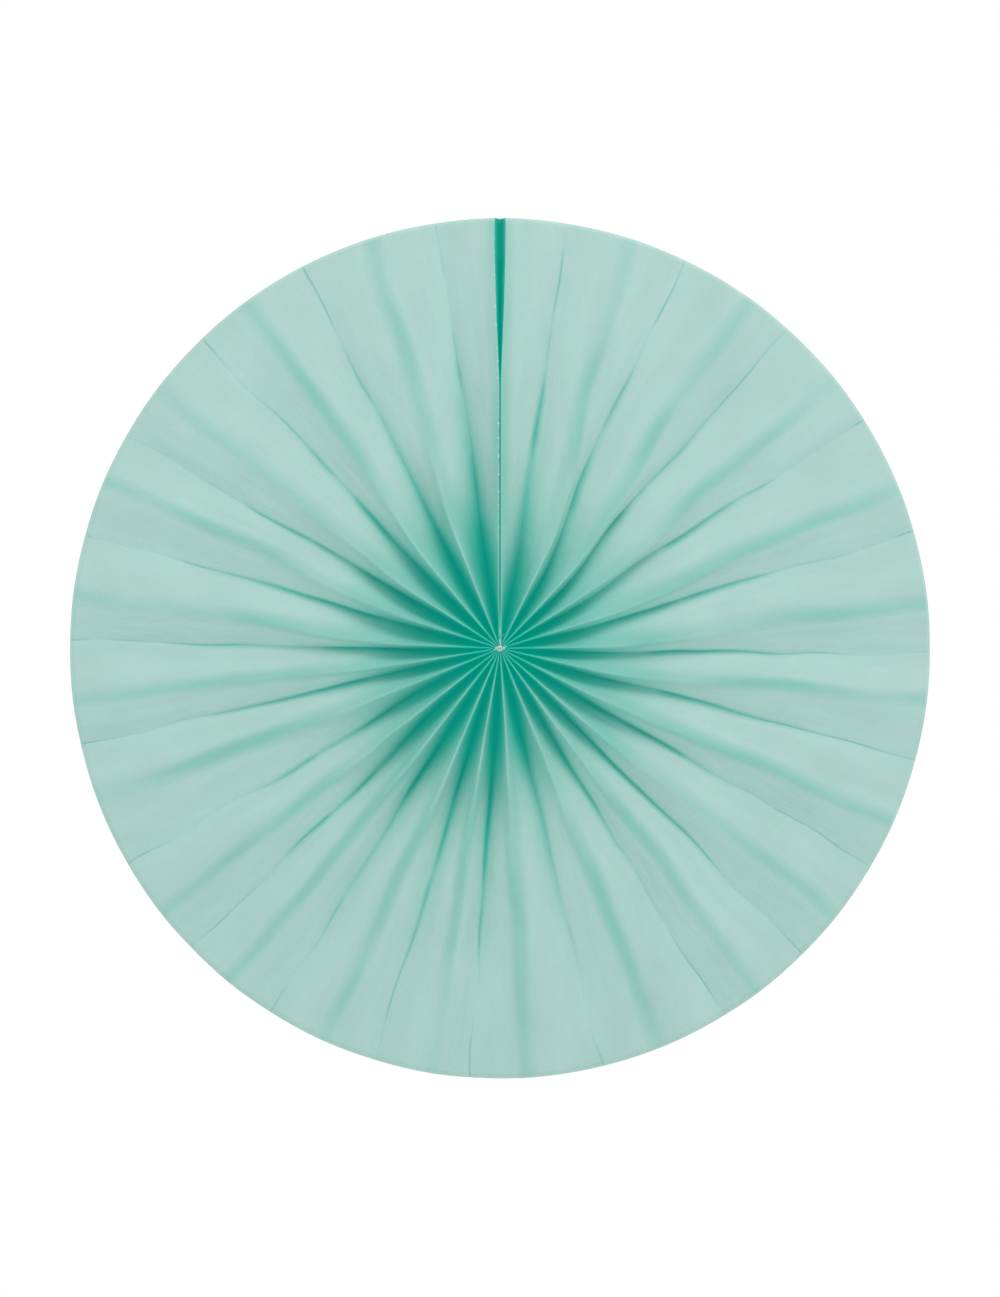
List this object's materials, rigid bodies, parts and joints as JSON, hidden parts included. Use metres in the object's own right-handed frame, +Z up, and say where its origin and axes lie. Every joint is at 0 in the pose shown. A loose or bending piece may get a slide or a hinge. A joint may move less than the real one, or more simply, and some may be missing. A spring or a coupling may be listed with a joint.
{
  "type": "paper fan rosette",
  "caption": "Round hanging decoration of one accordion-folded paper sheet opened to a full circle, with a seam between two card boards and a thread-tied hub.",
  "frame": {"origin": "the hub's centre, at half the depth of the gathered panels", "axes": "+Z up along the seam, from the hub to the rim; -Y out of the front, towards whoever looks at the fan; +X to the right as seen from the front"},
  "size_m": [0.32, 0.0315, 0.32],
  "materials": {
    "mint_paper": "thin uncoated mint green paper, matt",
    "card": "stiff card, pale at its cut edges",
    "tape": "double-sided adhesive tape, off-white",
    "thread": "pale twisted cotton thread"
  },
  "bodies": {
    "root": {"pleated_paper": "mint_paper", "end_board_right": "card", "end_board_left": "card", "seam_tape": "tape", "binding_thread": "thread"}
  },
  "joints": []
}
